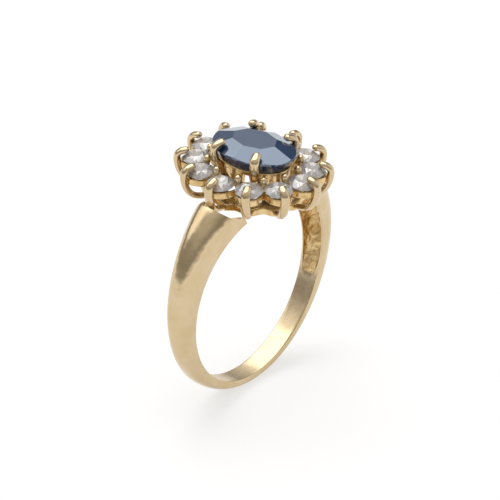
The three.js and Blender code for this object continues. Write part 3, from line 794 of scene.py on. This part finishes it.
def slope_plane(turn, inner, outer):
    """Plane that faces turn and passes through two (radius, height) places."""
    (r0, z0), (r1, z1) = inner, outer
    normal = np.array([z0 - z1, 0, r1 - r0]) * np.sign(r1 - r0 or 1)
    if normal[0] < 0:
        normal = -normal
    distance = normal[0] * r0 + normal[2] * z0
    direction = (normal[0] * cos(turn), normal[0] * sin(turn), normal[2])
    return direction, distance


def wall_planes(count, radius):
    """Upright planes round a stone's girdle."""
    turns = [i / count * 2 * pi for i in range(count)]
    return [((cos(t), sin(t), 0), radius) for t in turns]


def add_diamond(index, angle, material):
    """Round brilliant: table, 8 mains, 8 stars and 16 halves over the girdle, and 24 below."""
    r = DIAMOND_RADIUS
    eighth = pi / 8
    table = r * DIAMOND_TABLE
    planes = wall_planes(48, r)
    planes.append(((0, 0, 1), DIAMOND_CROWN))
    for i in range(8):
        turn = i * 2 * eighth
        planes.append(slope_plane(turn, (table, DIAMOND_CROWN), (r, 0.0)))
        planes.append(slope_plane(turn + eighth, (table * STAR_INNER, DIAMOND_CROWN),
                                  (r * STAR_OUTER, DIAMOND_CROWN * STAR_RISE)))
        for side in (-0.5, 0.5):
            planes.append(slope_plane(turn + side * eighth,
                                      (r * STAR_OUTER, DIAMOND_CROWN * HALF_RISE), (r, 0.0)))
    low = -DIAMOND_GIRDLE
    point = low - DIAMOND_PAVILION
    for i in range(8):
        turn = i * 2 * eighth
        planes.append(slope_plane(turn, (r, low), (0.0, point)))
        for side in (-0.5, 0.5):
            planes.append(slope_plane(turn + eighth + side * eighth, (r, low),
                                      (r * LOWER_INNER, low - DIAMOND_PAVILION * LOWER_DEPTH)))
    name = f"diamond_{index + 1:02d}"
    stone = cut_gem(f"{name}_piece", planes, r * 1.5, DIAMOND_PAVILION * 2)
    centre, flat, out, normal = halo_seat(angle)
    across = np.cross(UP, flat)
    spin = index * DIAMOND_SPIN
    first = out * cos(spin) + across * sin(spin)
    second = np.cross(normal, first)
    axes = Matrix((first, second, normal)).transposed().to_4x4()
    stone.data.transform(Matrix.Scale(MM, 4) @ Matrix.Translation(centre) @ axes)
    return finish_piece(stone, name, [material], None)


def sapphire_shape(name, extra=0.0):
    """Oval stone: eight broad facets round its table, and a steep and a shallow tier below."""
    half = pi / 8
    planes = wall_planes(64, 1.0)
    planes.append(((0, 0, 1), SAPPHIRE_CROWN))
    low = -SAPPHIRE_GIRDLE
    shelf = (SAPPHIRE_SHELF_WIDTH, -SAPPHIRE_SHELF)
    waist = (SAPPHIRE_WAIST_WIDTH, -SAPPHIRE_WAIST)
    upper_corner = (SAPPHIRE_UPPER_CORNER, -SAPPHIRE_SHELF)
    lower_corner = (SAPPHIRE_LOWER_CORNER, -SAPPHIRE_SHELF)
    for i in range(8):
        turn = (2 * i + 1) * half
        inner = SAPPHIRE_TABLE * cos(half)
        planes.append(slope_plane(turn, (inner, SAPPHIRE_CROWN), (1.0, 0.0)))
        planes.append(slope_plane(turn, (1.0, low), shelf))
        planes.append(slope_plane(turn, shelf, waist))
        planes.append(slope_plane(turn, waist, (SAPPHIRE_POINT_WIDTH, -SAPPHIRE_PAVILION)))
        planes.append(slope_plane(turn + half, (1.0, low), upper_corner))
        planes.append(slope_plane(turn + half, lower_corner, waist))
    planes.append(((0, 0, -1), SAPPHIRE_PAVILION))
    stone = cut_gem(name, planes, 1.5, SAPPHIRE_PAVILION * 1.5)
    stretch = Matrix.Diagonal((SAPPHIRE_X + extra, SAPPHIRE_Y + extra, 1, 1))
    place = Matrix.Translation((0, 0, SAPPHIRE_Z))
    stone.data.transform(Matrix.Scale(MM, 4) @ place @ stretch)
    return stone


def add_sapphire(material):
    """The centre stone."""
    stone = sapphire_shape("sapphire_piece")
    return finish_piece(stone, "sapphire", [material], None)


# ---------------------------------------------------------------- inner claws and basket

def basket_half(z):
    """Half width and length of the middle of the basket's wall, which tapers to its base."""
    share = (COLLAR_TOP_Z - z) / (COLLAR_TOP_Z - BASE_RAIL_Z)
    inset = SAPPHIRE_X * (1 - SAPPHIRE_SHELF_WIDTH) + COLLAR_WALL / 2 - COLLAR_LIP
    step = inset + BASKET_TAPER * share
    return SAPPHIRE_X - step, SAPPHIRE_Y - step


def basket_point(angle, z, side):
    """Point on the basket's wall at a height. side is how far out it is from the middle."""
    half_x, half_y = basket_half(z)
    point = np.array([half_x * cos(angle), half_y * sin(angle), z])
    return point + outward(half_x, half_y, angle) * side


def collar_foot(angle):
    """Lower edge of the collar, which steps up over the four windows."""
    turn = degrees(asin(min(1, abs(sin(angle)))))
    into = smoothstep(turn, WINDOW_FIRST, WINDOW_FIRST + 4)
    out = smoothstep(turn, WINDOW_LAST - 4, WINDOW_LAST)
    low = BASE_RAIL_Z + BASE_RAIL_RADIUS * 0.6
    high = COLLAR_TOP_Z - COLLAR_WINDOW_TOP
    return low + (high - low) * into * (1 - out)


def collar_ring(angle):
    """Section of the collar's wall, with its two outer edges rounded."""
    half = COLLAR_WALL / 2
    soft = COLLAR_ROUNDING
    foot = collar_foot(angle)
    turns = [radians(t) for t in (0, 30, 60, 90)]
    ring = [basket_point(angle, foot + soft * (1 - cos(t)), half - soft * (1 - sin(t)))
            for t in turns]
    ring += [basket_point(angle, COLLAR_TOP_Z - soft * (1 - sin(t)), half - soft * (1 - cos(t)))
             for t in turns]
    return ring + [basket_point(angle, COLLAR_TOP_Z, -half), basket_point(angle, foot, -half)]


def add_collar(material):
    """Wall of the centre basket, with the stone's seat cut out of its top."""
    rings = [collar_ring(i / COLLAR_STEPS * 2 * pi) for i in range(COLLAR_STEPS)]
    wall = skin("collar", rings, closed=True)
    wall = cut_away(wall, [sapphire_shape("stone_tool", FIT)])
    return finish_piece(wall, "centre_collar", [material], radians(45))


def add_base_rail(material):
    """Round oval wire that closes the basket below."""
    rings = []
    turns = np.linspace(0, 2 * pi, 20, endpoint=False)
    for i in range(BASE_RAIL_STEPS):
        angle = i / BASE_RAIL_STEPS * 2 * pi
        rings.append([basket_point(angle, BASE_RAIL_Z, cos(t) * BASE_RAIL_RADIUS)
                      + UP * sin(t) * BASE_RAIL_RADIUS for t in turns])
    rail = skin("base_rail", rings, closed=True)
    return finish_piece(rail, "centre_base_rail", [material], radians(60))


def bead_place(angle):
    """A bead stands inside the gap between two halo stones, clear of both girdles."""
    half = pi / HALO_COUNT
    before = on_oval(HALO_REACH, angle - half, HALO_Z)
    after = on_oval(HALO_REACH, angle + half, HALO_Z)
    half_spacing = np.linalg.norm(before - after) / 2
    stem = max(STEM_RADIUS, half_spacing - DIAMOND_RADIUS - FIT)
    clear = DIAMOND_RADIUS + stem + FIT
    inset = sqrt(max(0, clear ** 2 - half_spacing ** 2))
    return (before + after) / 2 - halo_out(angle) * inset, stem


def add_inner_claw(index, angle, material):
    """Bent wire from the basket's base rail, ending in a bead that two stones share."""
    bead, stem = bead_place(angle)
    half_x, half_y = basket_half(BASE_RAIL_Z)
    base = np.array([(half_x + BASE_RAIL_RADIUS) * cos(angle),
                     (half_y + BASE_RAIL_RADIUS) * sin(angle), 0])
    ground = np.array([bead[0], bead[1], 0])
    run = np.linalg.norm(ground - base)
    inwards = (base - ground) / run
    climb = HALO_Z - BASE_RAIL_Z

    def at(along, z):
        return ground + inwards * along + UP * z

    path = [
        at(run - stem * 0.4, BASE_RAIL_Z + climb * 0.04),
        at(run * 0.55, BASE_RAIL_Z + climb * 0.17),
        at(run * 0.1, BASE_RAIL_Z + climb * 0.52),
        at(0, HALO_Z - climb * 0.21),
        at(0, HALO_Z + BEAD_LIFT),
    ]
    across = np.cross(UP, inwards)
    swell = BEAD_RADIUS - STEM_RADIUS

    def radius_at(share):
        return stem + swell * smoothstep(share, 0.8, 1)

    name = f"inner_claw_{index + 1:02d}"
    claw = skin(f"{name}_piece", wire_rings(path, across, radius_at, 30, 20))
    return finish_piece(claw, name, [material], radians(60))


def add_centre_claw(index, angle, material):
    """Claw that climbs the basket's wall and bends over the centre stone."""
    out = outward(SAPPHIRE_X, SAPPHIRE_Y, angle)
    edge = np.array([SAPPHIRE_X * cos(angle), SAPPHIRE_Y * sin(angle), 0])
    thick = CENTRE_CLAW_RADIUS * CENTRE_CLAW_FLAT

    def at(along, z):
        return edge + out * along + UP * z

    def wall_offset(z, half_wall):
        middle = basket_point(angle, z, 0) * (1, 1, 0)
        return (middle - edge) @ out + half_wall + thick - 0.1

    girdle = thick + CENTRE_CLAW_STANDOFF
    crown_run = SAPPHIRE_X * (1 - SAPPHIRE_TABLE)
    lift = CENTRE_CLAW_GRIP / crown_run * SAPPHIRE_CROWN
    tip = SAPPHIRE_Z + lift + CENTRE_CLAW_TIP_RADIUS * CENTRE_CLAW_FLAT * 1.15 + FIT
    seat_z = COLLAR_TOP_Z - 0.5
    base_out = wall_offset(BASE_RAIL_Z, BASE_RAIL_RADIUS)
    path = [
        at(base_out, BASE_RAIL_Z - 0.05),
        at(base_out, BASE_RAIL_Z + 0.25),
        at(wall_offset(seat_z, COLLAR_WALL / 2), seat_z),
        at(girdle * 0.75, SAPPHIRE_Z - SAPPHIRE_SHELF * 0.6),
        at(girdle, SAPPHIRE_Z),
        at(girdle * 0.8, SAPPHIRE_Z + (tip - SAPPHIRE_Z) * 0.6),
        at((girdle - CENTRE_CLAW_GRIP) / 2, tip - 0.03),
        at(-CENTRE_CLAW_GRIP, tip + 0.06),
    ]
    slim = CENTRE_CLAW_TIP_RADIUS - CENTRE_CLAW_RADIUS

    def radius_at(share):
        return CENTRE_CLAW_RADIUS + slim * share

    name = f"centre_claw_{index + 1}"
    rings = wire_rings(path, np.cross(UP, out), radius_at, 44, 24, CENTRE_CLAW_FLAT)
    claw = skin(f"{name}_piece", rings)
    return finish_piece(claw, name, [material], radians(60))


# ---------------------------------------------------------------- light and floor

def toward(azimuth, elevation):
    """Unit vector. Azimuth turns from +X to +Y."""
    a, e = radians(azimuth), radians(elevation)
    return (cos(a) * cos(e), sin(a) * cos(e), sin(e))


# Soft round panels: azimuth, elevation, the angles inside which each is full and outside
# which it is gone, strength, and how much it is flattened into a strip.
PANELS = [
    (60, 68, 25, 34, 2.0, 1.0),
    (112, 36, 10, 24, 0.95, 1.0),
    (40, 32, 8, 22, 0.32, 1.0),
    (6, 28, 6, 22, -0.25, 1.0),
    (-128, 0, 30, 62, 0.4, 5.0),
    (-35, 12, 20, 50, 0.5, 1.0),
]


def add_panel(tree, direction, azimuth, elevation, inner, outer, strength, squash):
    """Brightness of one panel in a direction. A panel of negative strength is a dark card."""
    source = direction
    centre = Vector(toward(azimuth, elevation))
    if squash != 1.0:
        scale = node(tree, "ShaderNodeVectorMath", operation="MULTIPLY")
        scale.inputs[1].default_value = (1, 1, squash)
        tree.links.new(direction, scale.inputs[0])
        flat = node(tree, "ShaderNodeVectorMath", operation="NORMALIZE")
        tree.links.new(scale.outputs[0], flat.inputs[0])
        source = flat.outputs[0]
        centre = Vector((centre.x, centre.y, centre.z * squash)).normalized()
    dot = node(tree, "ShaderNodeVectorMath", operation="DOT_PRODUCT")
    dot.inputs[1].default_value = centre
    tree.links.new(source, dot.inputs[0])
    fade = node(tree, "ShaderNodeMapRange", interpolation_type="SMOOTHSTEP")
    fade.inputs["From Min"].default_value = cos(radians(outer))
    fade.inputs["From Max"].default_value = cos(radians(inner))
    fade.inputs["To Max"].default_value = strength
    tree.links.new(dot.outputs["Value"], fade.inputs["Value"])
    return fade.outputs["Result"]


def add_world():
    """Soft studio: a dim room, a big overhead panel, and pale panels low around the ring."""
    world = bpy.data.worlds.new("studio")
    world.use_nodes = True
    tree = world.node_tree
    direction = node(tree, "ShaderNodeTexCoord").outputs["Generated"]
    split = node(tree, "ShaderNodeSeparateXYZ")
    tree.links.new(direction, split.inputs[0])
    stops = [(0.0, (0.95,) * 3), (0.5, (0.8,) * 3), (0.56, (0.36, 0.35, 0.34)),
             (0.72, (0.38, 0.37, 0.36)), (0.86, (0.6, 0.59, 0.57)), (1.0, (0.75,) * 3)]
    height = node(tree, "ShaderNodeMapRange")
    height.inputs["From Min"].default_value = -1
    tree.links.new(split.outputs["Z"], height.inputs["Value"])
    total = ramp(tree, height.outputs["Result"], stops).outputs["Color"]
    for panel in PANELS:
        add = node(tree, "ShaderNodeVectorMath", operation="ADD")
        tree.links.new(total, add.inputs[0])
        tree.links.new(add_panel(tree, direction, *panel), add.inputs[1])
        total = add.outputs[0]
    tree.links.new(total, tree.nodes["Background"].inputs["Color"])
    bpy.context.scene.world = world


def add_floor():
    """Plain white table under the band."""
    made = bmesh.new()
    bmesh.ops.create_circle(made, cap_ends=True, segments=96, radius=0.6)
    mesh = bpy.data.meshes.new("floor")
    made.to_mesh(mesh)
    made.free()
    floor = bpy.data.objects.new("floor", mesh)
    floor.location.z = BAND_LOW[2] * MM
    material, tree, shader = new_material("table_white")
    cloud = noise(tree, 0.02, 2)
    tone = ramp(tree, cloud.outputs["Fac"], [(0.3, (0.37,) * 3), (0.7, (0.39,) * 3)])
    tree.links.new(tone.outputs["Color"], shader.inputs["Base Color"])
    shader.inputs["Emission Color"].default_value = (1, 1, 1, 1)
    shader.inputs["Emission Strength"].default_value = 0.61
    shader.inputs["Roughness"].default_value = 0.9
    shader.inputs["Specular IOR Level"].default_value = 0.1
    floor.data.materials.append(material)
    bpy.context.scene.collection.objects.link(floor)


# ---------------------------------------------------------------- assembly

polished = polished_gold()
outside = band_gold()
inside = worn_gold()
# The rails' and basket's gold has painted shade in its colour.
gallery = gallery_gold_painted_shade()
hollow = cast_gold()
blue = sapphire_material()
clear = diamond_material()
claw_angles = [i / HALO_COUNT * 2 * pi for i in range(HALO_COUNT)]
bead_angles = [(i + 0.5) / HALO_COUNT * 2 * pi for i in range(HALO_COUNT)]
centre_angles = [CENTRE_CLAW_ANGLE, pi - CENTRE_CLAW_ANGLE,
                 pi + CENTRE_CLAW_ANGLE, -CENTRE_CLAW_ANGLE]

add_band(outside, inside, hollow)
add_lower_rail(gallery)
add_upper_rail(claw_angles, gallery)
add_collar(gallery)
add_base_rail(gallery)
for number, angle in enumerate(claw_angles):
    add_outer_claw(number, angle, polished)
    add_diamond(number, angle, clear)
for number, angle in enumerate(bead_angles):
    add_inner_claw(number, angle, polished)
for number, angle in enumerate(centre_angles):
    add_centre_claw(number, angle, polished)
add_sapphire(blue)
add_floor()
add_world()
bpy.context.scene.view_settings.view_transform = "Standard"
